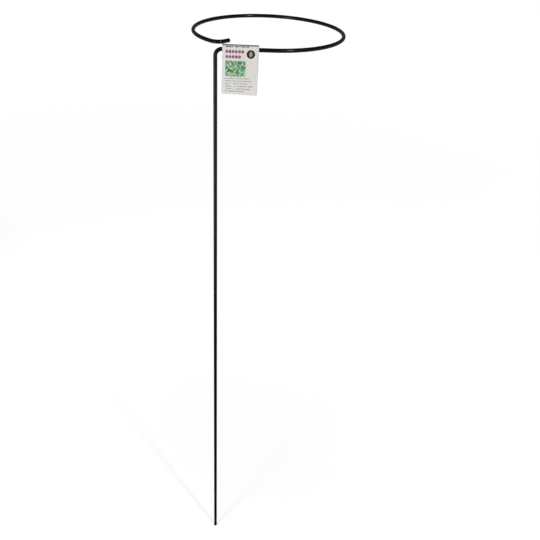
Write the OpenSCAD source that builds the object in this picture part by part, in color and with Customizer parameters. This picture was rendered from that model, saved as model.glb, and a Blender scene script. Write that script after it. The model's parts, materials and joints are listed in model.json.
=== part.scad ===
// Plant support ring on a stake: one coated steel wire bent into a leg, a straight run and
// an open ring with its free end turned inward, and a folded card tag that hangs on the run.
// Millimetres. +Z is up the leg, +X follows the straight run, +Y points to the ring's middle.
// The origin is on the leg's axis, where its straight wall ends above the rounded tip.

/* [Wire] */
// Diameter of the bare steel wire
core_d = 4.3; // [2.6:0.1:6]
// Thickness of the plastic coat on the wire
coat_t = 0.35; // [0.2:0.05:0.8]
// How far the drip beads at both ends stand out from the coat
bead_t = 0.17; // [0.05:0.01:0.22]
// Clearance between the steel and the coat's bore
coat_fit = 0.02; // [0.01:0.01:0.05]

/* [Leg] */
// Height of the ring's centre line above the lower end of the leg's straight wall
ring_z = 899; // [300:1:1500]
// Centre line radius of the bend from the leg to the straight run
bend_r = 8; // [6:0.5:20]
// Straight wire left between the tag and the start of the ring
run_tail = 16.6; // [2:0.1:60]

/* [Ring] */
// Centre line radius of the ring
ring_r = 100; // [60:1:250]
// How much tighter than the ring its last stretch is curved
ease_in = 12; // [0.5:0.5:20]
// Angle in degrees that this last stretch turns through, after three quarters of the ring
ease_turn = 44.5; // [20:0.5:55]
// Centre line radius of the square bend that turns the free end inward
hook_r = 11.3; // [6:0.1:20]
// Straight length after that bend
hook_l = 6.5; // [4:0.5:20]

/* [Tag] */
// Width of the card along the run
tag_w = 44; // [25:0.5:80]
// How far the card hangs below the run's centre line
tag_drop = 54.2; // [35:0.1:90]
// Thickness of the card
card_t = 0.4; // [0.2:0.05:0.6]
// Clearance between the wire and the card on either side of it
tag_fit = 0.15; // [0.1:0.05:0.4]
// Free height between the top of the wire and the fold
fold_gap = 2.4; // [0.5:0.1:5]
// Inside radius of the two creases of the fold
crease_r = 0.6; // [0.3:0.1:1]
// Radius of the card's lower corners
corner_r = 1.8; // [0.5:0.1:5]
// Distance from the top bend to the card's edge
tag_margin = 0.3; // [0.2:0.1:5]

/* [Adhesive] */
// Height of the adhesive strip that closes the card along its lower edge
glue_h = 12; // [6:0.5:20]
// Thickness of the adhesive strip
glue_t = 0.1; // [0.05:0.05:0.2]
// How far the strip stays back from the card's edges
glue_inset = 2.5; // [1:0.5:5]

/* [Hidden] */
$fn = 128;

core_r = core_d / 2;
wire_r = core_r + coat_t;
bead_r = wire_r + bead_t;
// A bead is a ball that meets the wire's wall at this distance from its middle
bead_reach = sqrt(bead_r * bead_r - wire_r * wire_r);
// At each joint an arc stops this far short of the next stretch, in a ball that is larger than
// the wire by the second value
knuckle_gap = 0.05;
knuckle_t = 0.01;

// Plan of the wire, seen from above: the run goes along +X from the leg, and the ring
// follows it anticlockwise
run_l = tag_margin + tag_w + run_tail;
ring_x = bend_r + run_l;
ease_r = ring_r - ease_in;
ease_x = ring_x - ease_in;
hook_heading = 270 + ease_turn;
hook_start = [ease_x + ease_r * sin(hook_heading), ring_r - ease_r * cos(hook_heading)];

// Card section, across the run: half its inside width at a height above the run's centre line
tag_x = bend_r + tag_margin;
fold_z = wire_r + fold_gap;
glue_top = tag_drop - glue_h;
panel_lean = (wire_r + tag_fit - glue_t / 2) / glue_top;
panel_slant = sqrt(1 + panel_lean * panel_lean);
function inside_half(z) = wire_r + tag_fit + panel_lean * z;

// Round rod along an arc about the Z axis, between two angles from +X, short by the knuckle's gap
// at both ends
module arc_rod(r, from, to, rod_r) {
    short = knuckle_gap / r * 180 / PI;
    rotate([0, 0, from + short])
        rotate_extrude(angle = to - from - 2 * short)
            translate([r, 0])
                circle(r = rod_r);
}

// Round rod along +Z
module straight_rod(length, rod_r) {
    cylinder(r = rod_r, h = length);
}

// Ball round the middle of a joint between two stretches of the wire, with its poles along +Z
module knuckle(rod_r) {
    sphere(r = rod_r + knuckle_t);
}

// The bent wire as one solid rod; grow lengthens both of its ends
module bent_rod(rod_r, grow) {
    translate([0, 0, ring_z - bend_r]) {
        mirror([0, 0, 1])
            straight_rod(ring_z - bend_r + grow, rod_r);
        knuckle(rod_r);
    }
    translate([bend_r, 0, ring_z - bend_r])
        rotate([90, 0, 0])
            arc_rod(bend_r, 90, 180, rod_r);
    translate([bend_r, 0, ring_z])
        rotate([0, 90, 0]) {
            knuckle(rod_r);
            straight_rod(run_l, rod_r);
            translate([0, 0, run_l])
                knuckle(rod_r);
        }
    translate([ring_x, ring_r, ring_z])
        arc_rod(ring_r, -90, 180, rod_r);
    translate([ring_x - ring_r, ring_r, ring_z])
        rotate([90, 0, 0])
            knuckle(rod_r);
    translate([ease_x, ring_r, ring_z])
        arc_rod(ease_r, 180, 180 + ease_turn, rod_r);
    at_hook() {
        rotate([0, 90, 0])
            knuckle(rod_r);
        translate([0, hook_r, 0])
            arc_rod(hook_r, -90, 0, rod_r);
        translate([hook_r, hook_r, 0])
            rotate([-90, 0, 0]) {
                knuckle(rod_r);
                straight_rod(hook_l + grow, rod_r);
            }
    }
}

// Places what follows at the start of the free end's bend, with X along the wire there
module at_hook() {
    translate(concat(hook_start, ring_z))
        rotate([0, 0, hook_heading])
            children();
}

// Beads where the dipped coat dripped off both ends
module end_beads() {
    translate([0, 0, -bead_reach])
        sphere(r = bead_r);
    at_hook()
        translate([hook_r, hook_r + hook_l + bead_reach, 0])
            rotate([-90, 0, 0])
                sphere(r = bead_r);
}

module steel_core() {
    color("silver")
        bent_rod(core_r, 0);
}

module plastic_coat() {
    color("black")
        difference() {
            union() {
                bent_rod(wire_r, bead_reach);
                end_beads();
            }
            bent_rod(core_r + coat_fit, coat_fit);
        }
}

// Half of the card's outline across the run, from the fold down, at a distance out from its
// inside face: the crease is an arc and the panel runs straight to the adhesive
function half_section(out, bottom) =
    let (
        r = crease_r + out,
        lean = atan(panel_lean),
        middle_z = fold_z - crease_r,
        middle_y = inside_half(middle_z) - crease_r * panel_slant,
        kink_z = (glue_t / 2 + out * (1 - panel_slant) - wire_r - tag_fit) / panel_lean
    )
    concat(
        [for (a = [90 : -15 : 0]) [middle_y, middle_z] + r * [cos(a - lean * (90 - a) / 90),
                                                              sin(a - lean * (90 - a) / 90)]],
        [[glue_t / 2 + out, kink_z], [glue_t / 2 + out, bottom]]
    );

// Closed section from one half and its mirror image
module section(half) {
    polygon(concat(half, [for (i = [len(half) - 1 : -1 : 0]) [-half[i][0], half[i][1]]]));
}

module tag_card() {
    color("whitesmoke")
        translate([tag_x, 0, ring_z])
            intersection() {
                rotate([90, 0, 90])
                    linear_extrude(tag_w)
                        difference() {
                            section(half_section(card_t, -tag_drop));
                            section(half_section(0, -tag_drop - 1));
                        }
                card_face();
            }
}

// Front view of the card with its rounded lower corners, as a block right through it
module card_face() {
    depth = 4 * wire_r + 4 * card_t;
    top = fold_z + card_t + 1;
    rotate([90, 0, 0])
        linear_extrude(depth, center = true)
            union() {
                translate([0, corner_r - tag_drop])
                    square([tag_w, tag_drop - corner_r + top]);
                translate([corner_r, -tag_drop])
                    square([tag_w - 2 * corner_r, corner_r]);
                for (x = [corner_r, tag_w - corner_r])
                    translate([x, corner_r - tag_drop])
                        circle(r = corner_r);
            }
}

module tag_adhesive() {
    color("ivory")
        translate([tag_x + glue_inset, -glue_t / 2, ring_z - tag_drop + glue_inset])
            cube([tag_w - 2 * glue_inset, glue_t, glue_h - glue_inset]);
}

steel_core();
plastic_coat();
tag_card();
tag_adhesive();
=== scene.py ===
import json
import math

import bpy
from mathutils import Matrix, Vector, noise


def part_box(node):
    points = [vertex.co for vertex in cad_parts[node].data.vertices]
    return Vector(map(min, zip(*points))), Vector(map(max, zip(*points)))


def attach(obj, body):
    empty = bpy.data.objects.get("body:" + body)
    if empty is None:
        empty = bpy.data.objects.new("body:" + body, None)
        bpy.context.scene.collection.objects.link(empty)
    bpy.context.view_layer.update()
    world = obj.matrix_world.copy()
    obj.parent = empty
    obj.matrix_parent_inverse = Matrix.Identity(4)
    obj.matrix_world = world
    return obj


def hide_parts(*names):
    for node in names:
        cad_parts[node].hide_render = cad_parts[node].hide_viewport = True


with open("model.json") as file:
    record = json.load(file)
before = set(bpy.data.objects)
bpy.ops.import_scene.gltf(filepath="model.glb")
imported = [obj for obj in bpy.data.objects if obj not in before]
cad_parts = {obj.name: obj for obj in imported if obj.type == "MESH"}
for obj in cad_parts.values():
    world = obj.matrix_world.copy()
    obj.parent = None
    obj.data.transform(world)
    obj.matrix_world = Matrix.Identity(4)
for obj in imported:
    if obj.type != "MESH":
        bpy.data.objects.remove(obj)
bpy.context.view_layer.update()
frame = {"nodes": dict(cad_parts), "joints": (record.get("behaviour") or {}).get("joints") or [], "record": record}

# Sizes are in metres, in the frame's own axes
MM = 0.001
X = Vector((1, 0, 0))
Y = Vector((0, 1, 0))
Z = Vector((0, 0, 1))
QUARTER = math.radians(90)

leg = frame["record"]["mounts"][0]["dims"]
swing = frame["joints"][0]
coat_low, coat_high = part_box("plastic_coat")
card_low, card_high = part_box("tag_card")
glue_low, glue_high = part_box("tag_adhesive")

# The wire's centre line, from its mount, its joint and its box
wire_r = leg["r_mm"] * MM
leg_l = leg["length_mm"] * MM
ring_z = swing["pos_m"][2]
bend_r = ring_z - leg_l
ring_r = round((coat_high.y - wire_r) / 2, 4)
ring_x = round(coat_high.x - wire_r - ring_r, 4)
run_l = ring_x - bend_r
ring_turn = 3 * QUARTER
ease_in = 12 * MM
ease_r = ring_r - ease_in
ease_turn = math.radians(44.5)
hook_r = 11.3 * MM
hook_l = 6.5 * MM

# The drip beads on its ends, from how far the lower one reaches below the leg
tip_drop = -coat_low.z
bead_r = (tip_drop**2 + wire_r**2) / (2 * tip_drop)
bead_reach = tip_drop - bead_r

# Steps of the wire's mesh
straight_step = 2.5 * MM
turn_step = 1.2 * MM
around_steps = 48
bead_steps = 16

# The coat's skin: waves with ripples on them, and lumps where a noise is above a level
wave_height = 0.01 * MM
wave_scale = 90
ripple_share = 0.35
ripple_scale = 260
lump_height = 0.025 * MM
lump_scale = 140
lump_shift = Vector((7, 3, 5))
lump_level = 0.55

# Heights on the leg between which the coat's gloss fades. The fading gloss is painted shade: it takes the
# reflections off the lower leg so that it renders darker towards the foot.
dull_below = 0.4
glossy_above = 0.8

# The card, with its crease measured to the card's middle
card_left = card_low.x
card_w = card_high.x - card_low.x
card_drop = ring_z - card_low.z
fold_z = card_high.z - ring_z
card_t = 0.4 * MM
card_fit = 0.15 * MM
crease_r = 0.8 * MM
corner_r = 1.8 * MM
panel_bow = 0.2 * MM

# How it hangs out of true: tilted, and turned more and more from below the wire down
card_tilt = math.radians(0.75)
card_twist = 3.2 * MM
twist_power = 1.2
twist_start = 3 * wire_r

# Steps of the card's mesh, and how many rows past the fold's middle are printed
corner_steps = 6
closed_steps = 8
panel_steps = 32
crease_steps = 8
fold_steps = 3
card_columns = 44
printed_rows_past = 3

# The adhesive strip, and how far its outline wanders inward
glue_t = glue_high.y - glue_low.y
glue_h = glue_high.z - card_low.z
glue_rows = 12
glue_columns = 40
glue_wander = 0.4 * MM
glue_wander_scale = 400

# The print, in millimetres across from the card's left edge and up from the run
SOFT = 0.06
# The painted shade over the fold's crease: its height, its soft edge, and where its tint turns from warm to cool
spine_h = 0.9
spine_soft = 0.4
spine_warm_to = 18
spine_cool_from = 34
title_rows = [
    {"low": -4.4, "high": 0.4, "left": 3.7, "right": 26.5, "count": 6},
    {"low": -10.4, "high": -5.8, "left": 3.7, "right": 22.7, "count": 5},
]
title_leaf_share = 0.45
title_rib = 0.1
title_rib_end = 0.25
title_corner = 0.1
title_bright_to = 4
title_dull_from = 26
note = {"left": 3.9, "right": 32.6, "low": 3.2, "high": 4.5}
note_seed = 9.0
badge_x = 34.4
badge_z = -4.7
badge_r = 5.2
badge_rim = 1.2
badge_leaf_r = 4.0
badge_leaf_shift = 2.0
picture = {"left": 3.8, "right": 28.4, "low": -32.0, "high": -12.7, "round_r": 1.2}
text_left = 3.7
text_height = 1.15
text_rows = [
    {"middle": -34.5, "right": 33.2},
    {"middle": -37.6, "right": 36.4},
    {"middle": -40.8, "right": 31.6},
    {"middle": -44.0, "right": 38.4},
    {"middle": -47.2, "right": 34.8},
    {"middle": -50.3, "right": 27.4},
]
dash_corner = 0.2
dash_l = 0.95
dash_gap_share = 0.17
stroke_l = 0.32

# The stage: the floor, and the world's levels as light from the viewer's side and from behind and as
# it is seen, with the parts of a direction along Y between which that light changes
floor_reach = 12.0
floor_cells = 48
world_front = 0.45
world_back = 0.13
world_seen = 0.3
front_to = -0.9
back_from = 0.5

# The camera
camera_place = Vector((0.01653, -0.79649, 1.09505))
camera_yaw = math.radians(4.534)
camera_pitch = math.radians(32.505)
camera_roll = math.radians(3.049)
camera_lens = 43.167
camera_sensor = 36.0


class Paint:
    """The node tree of a material or of the world. Most methods add a node and return its output."""

    # A noise stays mostly between these values
    NOISE_LOW = 0.3
    NOISE_HIGH = 0.7
    # The mix node's sockets for colours
    MIX_A = 6
    MIX_B = 7
    MIX_OUT = 2

    def __init__(self, owner, shader):
        owner.use_nodes = True
        self.owner = owner
        self.tree = owner.node_tree
        self.shader = self.tree.nodes[shader]

    def feed(self, socket, value):
        if isinstance(value, bpy.types.NodeSocket):
            self.tree.links.new(value, socket)
        else:
            socket.default_value = value

    def node(self, kind, inputs, **settings):
        made = self.tree.nodes.new(kind)
        for name, value in settings.items():
            setattr(made, name, value)
        for key, value in inputs.items():
            self.feed(made.inputs[key], value)
        return made

    def set(self, **values):
        """Sets the shader's sockets; an underscore in a name stands for a space."""
        for name, value in values.items():
            self.feed(self.shader.inputs[name.replace("_", " ")], value)

    def math(self, operation, a, b=0.0):
        return self.node("ShaderNodeMath", {0: a, 1: b}, operation=operation).outputs[0]

    def vector(self, operation, a, b=(0, 0, 0)):
        made = self.node("ShaderNodeVectorMath", {0: a, 1: b}, operation=operation)
        return made.outputs["Value" if operation == "LENGTH" else "Vector"]

    def place(self):
        return self.node("ShaderNodeTexCoord", {}).outputs["Object"]

    def direction(self):
        return self.node("ShaderNodeTexCoord", {}).outputs["Generated"]

    def turned(self, vector, angle):
        inputs = {"Vector": vector, "Angle": angle}
        return self.node("ShaderNodeVectorRotate", inputs, rotation_type="Z_AXIS").outputs[0]

    def split(self, vector):
        """The outputs X, Y and Z of a vector, or of a colour's red, green and blue."""
        return self.node("ShaderNodeSeparateXYZ", {0: vector}).outputs

    def join(self, x, y, z=0.0):
        return self.node("ShaderNodeCombineXYZ", {0: x, 1: y, 2: z}).outputs[0]

    def noise(self, vector, scale, detail=2.0, roughness=0.5):
        inputs = {"Vector": vector, "Scale": scale, "Detail": detail, "Roughness": roughness}
        return self.node("ShaderNodeTexNoise", inputs).outputs[0]

    def cells(self, vector, scale, randomness):
        inputs = {"Vector": vector, "Scale": scale, "Randomness": randomness}
        return self.node("ShaderNodeTexVoronoi", inputs, voronoi_dimensions="2D").outputs

    def chance(self, x, y):
        inputs = {"Vector": self.join(x, y)}
        return self.node("ShaderNodeTexWhiteNoise", inputs, noise_dimensions="2D").outputs[0]

    def fade(self, value, low, high, to_low=0.0, to_high=1.0):
        """Eases from to_low to to_high while value goes from low to high."""
        inputs = {0: value, 1: low, 2: high, 3: to_low, 4: to_high}
        return self.node("ShaderNodeMapRange", inputs, interpolation_type="SMOOTHSTEP").outputs[0]

    def vary(self, cloud, to_low, to_high):
        """Follows a noise between two values."""
        return self.fade(cloud, self.NOISE_LOW, self.NOISE_HIGH, to_low, to_high)

    def mix(self, factor, a, b):
        made = self.node("ShaderNodeMix", {0: factor}, data_type="RGBA")
        self.feed(made.inputs[self.MIX_A], a)
        self.feed(made.inputs[self.MIX_B], b)
        return made.outputs[self.MIX_OUT]

    def bump(self, height, strength, distance):
        inputs = {"Height": height, "Strength": strength, "Distance": distance}
        return self.node("ShaderNodeBump", inputs).outputs[0]

    def seen(self):
        """1 where the camera, a reflection or glass looks, and 0 where light falls."""
        path = self.node("ShaderNodeLightPath", {}).outputs
        looks = self.math("MAXIMUM", path["Is Camera Ray"], path["Is Glossy Ray"])
        return self.math("MAXIMUM", looks, path["Is Transmission Ray"])


def new_paint(name):
    return Paint(bpy.data.materials.new(name), "Principled BSDF")


def rgb(red, green, blue):
    return (red, green, blue, 1)


def grey(level):
    return rgb(level, level, level)


# Meshes

def add_piece(name, points, faces, materials):
    mesh = bpy.data.meshes.new(name)
    mesh.from_pydata(points, [], faces)
    mesh.polygons.foreach_set("use_smooth", [True] * len(faces))
    for material in materials:
        mesh.materials.append(material)
    mesh.update()
    piece = bpy.data.objects.new(name, mesh)
    bpy.context.scene.collection.objects.link(piece)
    return piece


def grid_faces(rows, columns):
    """Faces of a grid of points. Rows and columns count its cells."""
    faces = []
    for r in range(rows):
        for c in range(columns):
            a = r * (columns + 1) + c
            b = a + columns + 1
            faces.append((a, a + 1, b + 1, b))
    return faces


def grid_rim(rows, columns):
    """The points round such a grid: up its left side, along its last row, down and back."""
    wide = columns + 1
    rim = [r * wide for r in range(rows)]
    rim += [rows * wide + c for c in range(columns)]
    rim += [r * wide + columns for r in range(rows, 0, -1)]
    rim += list(range(columns, 0, -1))
    return rim


def slab_faces(rows, columns):
    """Faces of a slab: a grid, a second one behind it that looks the other way, and the rim."""
    layer = (rows + 1) * (columns + 1)
    front = grid_faces(rows, columns)
    back = [(layer + a, layer + d, layer + c, layer + b) for a, b, c, d in front]
    around = grid_rim(rows, columns)
    rim = []
    for here, ahead in zip(around, around[1:] + around[:1]):
        rim.append((here, ahead, layer + ahead, layer + here))
    return front, back, rim


class Route:
    """A centre line that is drawn as the wire is bent: straight lengths and round turns."""

    def __init__(self, start, heading, side):
        self.point = start
        self.heading = heading
        self.side = side
        self.stations = []
        self.note()

    def note(self):
        self.stations.append((self.point.copy(), self.heading.copy(), self.side.copy()))

    def straight(self, length):
        steps = math.ceil(length / straight_step)
        for _ in range(steps):
            self.point = self.point + self.heading * (length / steps)
            self.note()

    def turn(self, radius, angle, axis):
        centre = self.point + axis.cross(self.heading) * radius
        steps = math.ceil(radius * angle / turn_step)
        step = Matrix.Rotation(angle / steps, 3, axis)
        for _ in range(steps):
            self.point = centre + step @ (self.point - centre)
            self.heading = step @ self.heading
            self.side = step @ self.side
            self.note()


def wire_route():
    route = Route(Vector((0, 0, 0)), Z, X)
    route.straight(leg_l)
    route.turn(bend_r, QUARTER, Y)
    route.straight(run_l)
    route.turn(ring_r, ring_turn, Z)
    route.turn(ease_r, ease_turn, Z)
    route.turn(hook_r, QUARTER, Z)
    route.straight(hook_l)
    return route.stations


def skin(point):
    """How far the dipped coat stands out at a point."""
    waves = noise.noise(point * wave_scale) + ripple_share * noise.noise(point * ripple_scale)
    lumps = max(0.0, noise.noise(point * lump_scale + lump_shift) - lump_level)
    return wave_height * waves + lump_height * lumps / (1 - lump_level)


def bead_stations(station, outward):
    """Stations and radii over the drip bead at an end, from the wire to just short of the pole."""
    point, heading, side = station
    first = -math.asin(bead_reach / bead_r)
    made = []
    for i in range(1, bead_steps):
        angle = first + (QUARTER - first) * i / bead_steps
        along = bead_reach + bead_r * math.sin(angle)
        made.append(((point + heading * along * outward, heading, side), bead_r * math.cos(angle)))
    return made


def make_coat(material):
    stations = wire_route()
    lower = bead_stations(stations[0], -1)
    upper = bead_stations(stations[-1], 1)
    rings = lower[::-1] + [(station, wire_r) for station in stations] + upper
    points = []
    for (point, heading, side), radius in rings:
        other = heading.cross(side)
        for j in range(around_steps):
            angle = 2 * math.pi * j / around_steps
            out = side * math.cos(angle) + other * math.sin(angle)
            points.append(point + out * (radius + skin(point + out * radius)))
    foot_pole = len(points)
    points.append(stations[0][0] - stations[0][1] * tip_drop)
    free_pole = len(points)
    points.append(stations[-1][0] + stations[-1][1] * tip_drop)
    last = (len(rings) - 1) * around_steps
    faces = []
    for j in range(around_steps):
        k = (j + 1) % around_steps
        for a in range(0, last, around_steps):
            b = a + around_steps
            faces.append((a + j, a + k, b + k, b + j))
        faces.append((foot_pole, k, j))
        faces.append((free_pole, last + j, last + k))
    return add_piece("wire_coat", points, faces, [material])


def card_warp(point):
    """Moves a point of the true card to where it hangs: tilted in the card's own plane, and turned
    about the left edge towards the lower edge."""
    depth = max(0.0, (ring_z - twist_start - point.z) / (card_drop - twist_start))
    across = (point.x - card_left) / card_w
    right = point.x - card_left - card_w / 2
    up = point.z - ring_z
    return Vector((
        point.x + card_tilt * up,
        point.y - card_twist * across * depth**twist_power,
        point.z - card_tilt * right,
    ))


def card_path():
    """Half of the card's middle line across the run, from its lower edge to the fold's middle, as
    pairs of (distance out, height above the run)."""
    low = -card_drop
    kink = low + glue_h
    foot = (glue_t + card_t) / 2
    hip = wire_r + card_fit + card_t / 2
    lean = (hip - foot) / -kink
    top = fold_z - card_t / 2
    centre_z = top - crease_r
    centre_y = hip + lean * centre_z - crease_r
    path = []
    for i in range(corner_steps + 1):
        angle = QUARTER * i / corner_steps
        path.append((foot, low + corner_r * (1 - math.cos(angle))))
    for i in range(1, closed_steps + 1):
        path.append((foot, low + corner_r + (glue_h - corner_r) * i / closed_steps))
    for i in range(1, panel_steps + 1):
        t = i / panel_steps
        bow = panel_bow * math.sin(math.pi * t) ** 2
        path.append((foot + (centre_y + crease_r - foot) * t + bow, kink + (centre_z - kink) * t))
    for i in range(1, crease_steps + 1):
        angle = QUARTER * i / crease_steps
        path.append((centre_y + crease_r * math.cos(angle), centre_z + crease_r * math.sin(angle)))
    for i in range(1, fold_steps + 1):
        path.append((centre_y * (1 - i / fold_steps), top))
    return path


def card_section():
    """The whole middle line, front lower edge to back lower edge, with its outward normals."""
    half = card_path()
    line = [Vector((0, -out, z)) for out, z in half]
    line += [Vector((0, out, z)) for out, z in half[-2::-1]]
    normals = []
    for i in range(len(line)):
        ahead = line[min(i + 1, len(line) - 1)] - line[max(i - 1, 0)]
        normals.append(Vector((0, -ahead.z, ahead.y)).normalized())
    return line, normals


def corner_inset(height):
    """How far the card's sides draw in at a height above its lower edge, for its round corners."""
    rest = max(0.0, corner_r - height)
    return corner_r - math.sqrt(max(0.0, corner_r**2 - rest**2))


def make_card(printed, plain, edge):
    """The folded card, printed on its front and over the fold."""
    line, normals = card_section()
    points = []
    for out in (card_t / 2, -card_t / 2):
        for middle, normal in zip(line, normals):
            inset = corner_inset(middle.z + card_drop)
            at = middle + normal * out
            for c in range(card_columns + 1):
                x = card_left + inset + (card_w - 2 * inset) * c / card_columns
                points.append(card_warp(Vector((x, at.y, ring_z + at.z))))
    outer, inner, rim = slab_faces(len(line) - 1, card_columns)
    materials = [printed, plain, edge]
    print_faces = (len(line) // 2 + printed_rows_past) * card_columns
    plain_faces = len(outer) - print_faces + len(inner)
    slots = [0] * print_faces + [1] * plain_faces + [2] * len(rim)
    card = add_piece("folded_card", points, outer + inner + rim, materials)
    card.data.polygons.foreach_set("material_index", slots)
    return card


def make_glue(material):
    """The adhesive strip between the panels, with an uneven outline."""
    points = []
    for y in (glue_low.y, glue_high.y):
        for r in range(glue_rows + 1):
            for c in range(glue_columns + 1):
                x = glue_low.x + (glue_high.x - glue_low.x) * c / glue_columns
                z = glue_low.z + (glue_high.z - glue_low.z) * r / glue_rows
                inward = glue_wander * abs(noise.noise(Vector((x, 0, z)) * glue_wander_scale))
                x += inward * ((c == 0) - (c == glue_columns))
                z += inward * ((r == 0) - (r == glue_rows))
                points.append(card_warp(Vector((x, y, z))))
    front, back, rim = slab_faces(glue_rows, glue_columns)
    return add_piece("glue_film", points, front + back + rim, [material])


# Materials

def coat_material():
    """Black dipped plastic: a dull body under a gloss that fades down the leg, as painted shade that darkens the
    lower leg's reflections towards the foot.
    """
    paint = new_paint("dipped_plastic")
    place = paint.place()
    cloud = paint.noise(place, scale=160, detail=3)
    peel = paint.bump(paint.noise(place, scale=1500), strength=0.1, distance=0.02 * MM)
    height = paint.split(place)["Z"]
    # The gloss fading down the leg is painted shade, which darkens the lower leg's reflections
    gloss = paint.fade(height, dull_below, glossy_above, to_low=0.02, to_high=0.3)
    paint.set(
        Base_Color=paint.mix(cloud, rgb(0.0008, 0.0008, 0.0009), rgb(0.002, 0.002, 0.0021)),
        Roughness=paint.vary(cloud, 0.4, 0.6),
        Specular_IOR_Level=0.0,
        Coat_Weight=paint.math("MULTIPLY", gloss, paint.vary(cloud, 1.15, 0.85)),
        Coat_Roughness=0.15,
        Normal=peel,
        Coat_Normal=peel,
    )
    return paint.owner


def steel_material():
    """Drawn wire, with streaks along the leg."""
    paint = new_paint("drawn_steel")
    stretch = (1, 1, 0.02)
    streaks = paint.noise(paint.vector("MULTIPLY", paint.place(), stretch), scale=2200, detail=3)
    paint.set(
        Base_Color=paint.mix(streaks, grey(0.42), grey(0.58)),
        Roughness=paint.vary(streaks, 0.28, 0.42),
        Metallic=1.0,
    )
    return paint.owner


def glue_material():
    paint = new_paint("dried_glue")
    cloud = paint.noise(paint.place(), scale=700, detail=4)
    paint.set(
        Base_Color=paint.mix(cloud, rgb(0.78, 0.74, 0.6), rgb(0.88, 0.86, 0.78)),
        Roughness=paint.vary(cloud, 0.35, 0.6),
        Normal=paint.bump(cloud, strength=0.2, distance=0.05 * MM),
    )
    return paint.owner


def paper(paint, place):
    """Sets the card's gloss and grain, and returns its bare colour: warm white with faint clouds and
    fibres."""
    cloud = paint.noise(place, scale=90, detail=4, roughness=0.6)
    fibre = paint.noise(place, scale=4000)
    grain = paint.bump(fibre, strength=0.1, distance=0.04 * MM)
    paint.set(Roughness=0.55, Specular_IOR_Level=0.25, Normal=grain)
    base = paint.mix(cloud, rgb(0.685, 0.675, 0.645), rgb(0.735, 0.722, 0.69))
    strands = paint.fade(fibre, 0.55, 0.75, to_low=0, to_high=0.12)
    return paint.mix(strands, base, rgb(0.6, 0.58, 0.54))


def card_material():
    paint = new_paint("plain_card")
    paint.set(Base_Color=paper(paint, paint.place()))
    return paint.owner


def edge_material():
    paint = new_paint("cut_card_edge")
    layers = paint.noise(paint.place(), scale=2600, detail=3)
    paint.set(
        Base_Color=paint.mix(layers, rgb(0.62, 0.6, 0.56), rgb(0.8, 0.79, 0.76)),
        Roughness=0.8,
        Normal=paint.bump(layers, strength=0.3, distance=0.05 * MM),
    )
    return paint.owner


# Shapes of the print: how much ink there is at a place, from 0 to 1

def bar(paint, place, left, right, low, high, round_r):
    """A rectangle with round corners."""
    middle = ((left + right) / 2, (low + high) / 2, 0)
    reach = ((right - left) / 2 - round_r, (high - low) / 2 - round_r, 0)
    away = paint.vector("ABSOLUTE", paint.vector("SUBTRACT", place, middle))
    past = paint.vector("MAXIMUM", paint.vector("SUBTRACT", away, reach))
    return paint.fade(paint.vector("LENGTH", past), round_r + SOFT, round_r - SOFT)


def disc(paint, place, x, y, radius):
    gap = paint.vector("LENGTH", paint.vector("SUBTRACT", place, (x, y, 0)))
    return paint.fade(gap, radius + SOFT, radius - SOFT)


def dashes(paint, place, seed, left, right, low, high):
    """A line of dashes of uneven length and weight."""
    across = paint.split(place)["X"]
    dash = paint.math("FLOOR", paint.math("DIVIDE", across, dash_l))
    stroke = paint.math("FLOOR", paint.math("DIVIDE", across, stroke_l))
    shown = paint.math("GREATER_THAN", paint.chance(dash, seed), dash_gap_share)
    weight = paint.fade(paint.chance(stroke, seed + 0.5), 0, 1, to_low=0.75, to_high=0.95)
    line = bar(paint, place, left, right, low, high, dash_corner)
    return paint.math("MULTIPLY", line, paint.math("MULTIPLY", shown, weight))


def leaf_row(paint, place, low, high, left, right, count):
    """A row of upright leaves, each with a light midrib."""
    at = paint.split(place)
    pitch = (right - left) / count
    turn = paint.math("DIVIDE", paint.math("SUBTRACT", at["X"], left), pitch)
    off_middle = paint.math("SUBTRACT", paint.math("FRACT", turn), 0.5)
    side = paint.math("MULTIPLY", paint.math("ABSOLUTE", off_middle), pitch)
    rise = paint.math("SUBTRACT", at["Y"], (low + high) / 2)
    taper = paint.math("POWER", paint.math("DIVIDE", rise, (high - low) / 2), 2.0)
    width = title_leaf_share * pitch
    edge = paint.math("ADD", side, paint.math("MULTIPLY", taper, width))
    leaf = paint.fade(edge, width + SOFT, width - SOFT)
    rib = paint.fade(side, title_rib, title_rib_end, to_low=0.4, to_high=1.0)
    row = bar(paint, place, left, right, low, high, title_corner)
    return paint.math("MULTIPLY", paint.math("MULTIPLY", leaf, rib), row)


# Layers of the picture: each takes the colour below it and returns the colour with the layer on it

def leaf_layer(paint, place, colour, spacing, length, width, shift, tones):
    """Lens-shaped leaves, one to a cell, each turned its own way."""
    dark, light, rib_tone = tones
    soft = 0.15
    rib = 0.1
    rib_end = 0.3
    vein_scale = 5.0
    sown = paint.vector("ADD", place, shift)
    found = paint.cells(sown, 1 / spacing, randomness=0.8)
    draw = paint.split(found["Color"])
    turn = paint.math("MULTIPLY", draw["X"], 2 * math.pi)
    local = paint.vector("SUBTRACT", sown, found["Position"])
    at = paint.split(paint.turned(local, turn))
    side = paint.math("ABSOLUTE", at["Y"])
    taper = paint.math("POWER", paint.math("ABSOLUTE", paint.math("DIVIDE", at["X"], length)), 2.0)
    edge = paint.math("ADD", side, paint.math("MULTIPLY", taper, width))
    leaf = paint.fade(edge, width + soft, width - soft)
    slant = paint.math("MULTIPLY", paint.math("ADD", at["X"], side), vein_scale)
    veins = paint.fade(paint.math("SINE", slant), 0.6, 1.0, to_low=0.0, to_high=0.4)
    ribs = paint.math("MAXIMUM", paint.fade(side, rib_end, rib), veins)
    flesh = paint.mix(draw["Y"], dark, light)
    return paint.mix(leaf, colour, paint.mix(ribs, flesh, rib_tone))


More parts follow.
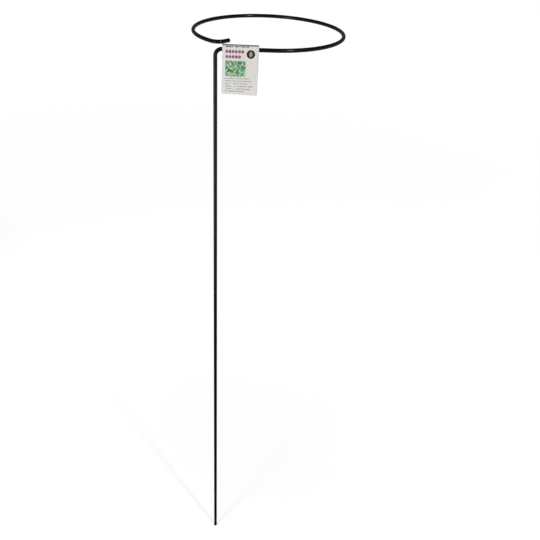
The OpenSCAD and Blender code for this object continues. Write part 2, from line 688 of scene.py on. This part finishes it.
def flower_layer(paint, place, colour, spacing, radius):
    """Round flowers of two kinds, with five petals, in some of the cells."""
    soft = 0.1
    petal_count = 5.0
    notch_depth = 0.2 * radius
    heart_r = 0.35 * radius
    bare_cells = 0.45
    first_kind = 0.4
    found = paint.cells(place, 1 / spacing, randomness=0.7)
    draw = paint.split(found["Color"])
    local = paint.vector("SUBTRACT", place, found["Position"])
    at = paint.split(local)
    turn = paint.math("ARCTAN2", at["Y"], at["X"])
    petals = paint.math("COSINE", paint.math("MULTIPLY", turn, petal_count))
    notch = paint.math("MULTIPLY", petals, notch_depth)
    reach = paint.math("SUBTRACT", paint.vector("LENGTH", local), notch)
    chosen = paint.math("GREATER_THAN", draw["X"], bare_cells)
    bloom = paint.math("MULTIPLY", paint.fade(reach, radius + soft, radius - soft), chosen)
    kind = paint.math("GREATER_THAN", draw["Y"], first_kind)
    petal = paint.mix(kind, rgb(0.68, 0.5, 0.15), rgb(0.52, 0.27, 0.22))
    colour = paint.mix(bloom, colour, petal)
    heart = paint.math("MULTIPLY", disc(paint, local, 0, 0, heart_r), chosen)
    return paint.mix(heart, colour, rgb(0.75, 0.62, 0.3))


def leaves(paint, place):
    """A plain bed of leaves: three layers over a mottled ground, with small flowers among them."""
    deep = [rgb(0.025, 0.175, 0.1), rgb(0.07, 0.29, 0.135), rgb(0.17, 0.4, 0.21)]
    fresh = [rgb(0.07, 0.35, 0.2), rgb(0.255, 0.53, 0.25), rgb(0.43, 0.63, 0.38)]
    pale = [rgb(0.27, 0.56, 0.35), rgb(0.51, 0.63, 0.42), rgb(0.61, 0.7, 0.52)]
    layers = [
        {"spacing": 4.2, "length": 3.0, "width": 1.3, "shift": (0, 0, 0), "tones": deep},
        {"spacing": 4.6, "length": 2.8, "width": 1.15, "shift": (11, 7, 0), "tones": fresh},
        {"spacing": 5.4, "length": 2.3, "width": 0.95, "shift": (23, 31, 0), "tones": pale},
    ]
    mottle = paint.fade(paint.noise(place, scale=0.3, detail=3), 0.35, 0.65)
    colour = paint.mix(mottle, rgb(0.025, 0.095, 0.05), rgb(0.26, 0.32, 0.2))
    for layer in layers:
        colour = leaf_layer(paint, place, colour, **layer)
    return flower_layer(paint, place, colour, spacing=5.6, radius=1.1)


# The print's items, and the painted shade over the fold: each takes the card's colour and returns it with the item
# on it

def fold_shade_strip(paint, flat, colour):
    """Painted shade: a darker strip over the fold's crease, which turns cooler to the right."""
    at = paint.split(flat)
    low = fold_z / MM - spine_h
    strip = paint.fade(at["Y"], low, low + spine_soft)
    cool = paint.fade(at["X"], spine_warm_to, spine_cool_from)
    tint = paint.mix(cool, rgb(0.4, 0.4, 0.365), rgb(0.33, 0.32, 0.36))
    return paint.mix(strip, colour, tint)


def print_title(paint, flat, colour):
    """Rows of plum leaves where a title would be, duller to the right."""
    dull = paint.fade(paint.split(flat)["X"], title_bright_to, title_dull_from)
    plum = paint.mix(dull, rgb(0.25, 0.028, 0.125), rgb(0.22, 0.032, 0.115))
    for row in title_rows:
        colour = paint.mix(leaf_row(paint, flat, **row), colour, plum)
    return colour


def print_badge(paint, flat, colour):
    """A leaf on a dark disc with a pale rim."""
    rim = disc(paint, flat, badge_x, badge_z, badge_r + badge_rim)
    colour = paint.mix(rim, colour, rgb(0.8, 0.77, 0.62))
    button = disc(paint, flat, badge_x, badge_z, badge_r)
    colour = paint.mix(button, colour, rgb(0.015, 0.015, 0.012))
    left_round = disc(paint, flat, badge_x - badge_leaf_shift, badge_z, badge_leaf_r)
    right_round = disc(paint, flat, badge_x + badge_leaf_shift, badge_z, badge_leaf_r)
    leaf = paint.math("MULTIPLY", left_round, right_round)
    return paint.mix(leaf, colour, rgb(0.34, 0.33, 0.31))


def print_text(paint, flat, colour):
    """Grey dashes where small text would be."""
    for number, row in enumerate(text_rows):
        low = row["middle"] - text_height / 2
        high = low + text_height
        line = dashes(paint, flat, float(number), text_left, row["right"], low, high)
        colour = paint.mix(line, colour, rgb(0.33, 0.32, 0.31))
    return colour


def print_material():
    paint = new_paint("printed_card")
    place = paint.place()
    at = paint.split(place)
    across = paint.math("SUBTRACT", paint.math("DIVIDE", at["X"], MM), card_left / MM)
    up = paint.math("SUBTRACT", paint.math("DIVIDE", at["Z"], MM), ring_z / MM)
    flat = paint.join(across, up)
    colour = fold_shade_strip(paint, flat, paper(paint, place))
    colour = paint.mix(dashes(paint, flat, note_seed, **note), colour, rgb(0.08, 0.06, 0.065))
    colour = print_title(paint, flat, colour)
    colour = print_badge(paint, flat, colour)
    colour = paint.mix(bar(paint, flat, **picture), colour, leaves(paint, flat))
    colour = print_text(paint, flat, colour)
    paint.set(Base_Color=colour)
    return paint.owner


# The object

def dress():
    coat = make_coat(coat_material())
    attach(coat, "stake")
    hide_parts("plastic_coat")

    card = make_card(print_material(), card_material(), edge_material())
    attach(card, "tag")
    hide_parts("tag_card")

    glue = make_glue(glue_material())
    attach(glue, "tag")
    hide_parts("tag_adhesive")

    core = frame["nodes"]["steel_core"]
    core.data.materials.clear()
    core.data.materials.append(steel_material())
    return coat, [card, glue]


# The stage: floor, world, lamps and camera

def floor_material():
    """A pale floor that glows to the eye only. The glow is weaker round the leg, where the lamps light
    the floor, and on the viewer's side and far away, where the photograph shows little of it."""
    paint = new_paint("pale_floor")
    place = paint.place()
    away = paint.vector("LENGTH", place)
    behind = paint.split(place)["Y"]
    near = paint.fade(away, 0.0, 0.9, to_low=0.64, to_high=0.785)
    glow = paint.math("ADD", near, paint.fade(away, 1.2, 4.0, to_low=0.0, to_high=0.075))
    far_fade = paint.fade(away, 6.2, 11.5, to_low=1.0, to_high=0.35)
    front_fade = paint.fade(behind, -0.8, -0.05, to_low=0.7, to_high=1.0)
    glow = paint.math("MULTIPLY", glow, paint.math("MULTIPLY", far_fade, front_fade))
    paint.set(
        Base_Color=paint.mix(paint.noise(place, scale=3), grey(0.6), grey(0.62)),
        Roughness=0.9,
        Specular_IOR_Level=0.0,
        Emission_Color=grey(1.0),
        Emission_Strength=paint.math("MULTIPLY", paint.seen(), glow),
    )
    return paint.owner


def add_floor():
    steps = [floor_reach * (2 * i / floor_cells - 1) for i in range(floor_cells + 1)]
    points = [(x, y, coat_low.z) for y in steps for x in steps]
    floor = add_piece("floor", points, grid_faces(floor_cells, floor_cells), [floor_material()])


def set_world():
    """Plain grey to the eye, and soft light that comes more from the viewer's side."""
    sky = Paint(bpy.data.worlds.new("studio"), "Background")
    along = sky.split(sky.direction())["Y"]
    light = sky.fade(along, front_to, back_from, world_front, world_back)
    change = sky.math("MULTIPLY", sky.seen(), sky.math("SUBTRACT", world_seen, light))
    sky.set(Color=grey(1.0), Strength=sky.math("ADD", light, change))
    bpy.context.scene.world = sky.owner


def aside(azimuth, distance, height):
    """A place round an upright line that is just behind the tag. Azimuth is measured from the viewer's
    side, positive to the right."""
    angle = math.radians(azimuth)
    middle = Vector((card_left, ring_r / 2, height))
    return middle + Vector((math.sin(angle), -math.cos(angle), 0)) * distance


def add_lamp(name, place, aim, size, watts, lit=None):
    """An area lamp that the camera doesn't see. It lights the pieces in lit, or everything."""
    data = bpy.data.lights.new(name, "AREA")
    data.shape = "RECTANGLE"
    data.size, data.size_y = size
    data.energy = watts
    lamp = bpy.data.objects.new(name, data)
    lamp.location = place
    lamp.rotation_euler = (place - aim).to_track_quat("Z", "Y").to_euler()
    lamp.visible_camera = False
    bpy.context.scene.collection.objects.link(lamp)
    if lit:
        receivers = bpy.data.collections.new(name)
        for piece in lit:
            receivers.objects.link(piece)
        lamp.light_linking.receiver_collection = receivers


def add_lamps(wire, tag_pieces):
    """A soft box and a lamp on the viewer's side, with glints of both for the black wire alone, and
    a fill behind for the tag alone."""
    ring_aim = aside(azimuth=0, distance=0, height=ring_z)

    box_height = 0.5
    box_size = (0.2, 0.9)
    box_place = aside(azimuth=-37, distance=0.8, height=box_height)
    box_aim = aside(azimuth=0, distance=0, height=box_height)
    add_lamp("soft_box_left", box_place, box_aim, box_size, watts=4.5)
    add_lamp("glint_left", box_place, box_aim, box_size, watts=15, lit=[wire])

    lamp_rise = 1.13
    lamp_size = (0.14, 0.14)
    lamp_place = aside(azimuth=33.8, distance=1.89, height=ring_z + lamp_rise)
    add_lamp("lamp_right", lamp_place, ring_aim, lamp_size, watts=17.5)
    add_lamp("glint_right", lamp_place, ring_aim, lamp_size, watts=21, lit=[wire])

    fill_drop = 0.5
    fill_size = (0.6, 0.6)
    fill_place = aside(azimuth=170, distance=1.5, height=ring_z - fill_drop)
    add_lamp("fill_behind", fill_place, ring_aim, fill_size, watts=14, lit=tag_pieces)


def add_camera():
    level_ahead = Vector((math.sin(camera_yaw), math.cos(camera_yaw), 0))
    level_right = Vector((math.cos(camera_yaw), -math.sin(camera_yaw), 0))
    ahead = level_ahead * math.cos(camera_pitch) - Z * math.sin(camera_pitch)
    level_up = level_right.cross(ahead)
    right = level_right * math.cos(camera_roll) + level_up * math.sin(camera_roll)
    up = level_up * math.cos(camera_roll) - level_right * math.sin(camera_roll)
    data = bpy.data.cameras.new("camera")
    data.sensor_width = camera_sensor
    data.lens = camera_lens
    camera = bpy.data.objects.new("camera", data)
    turn = Matrix((right, up, -ahead)).transposed().to_4x4()
    camera.matrix_world = Matrix.Translation(camera_place) @ turn
    bpy.context.scene.collection.objects.link(camera)
    bpy.context.scene.camera = camera


wire, tag_pieces = dress()
add_floor()
set_world()
add_lamps(wire, tag_pieces)
add_camera()
bpy.context.scene.view_settings.view_transform = "Standard"
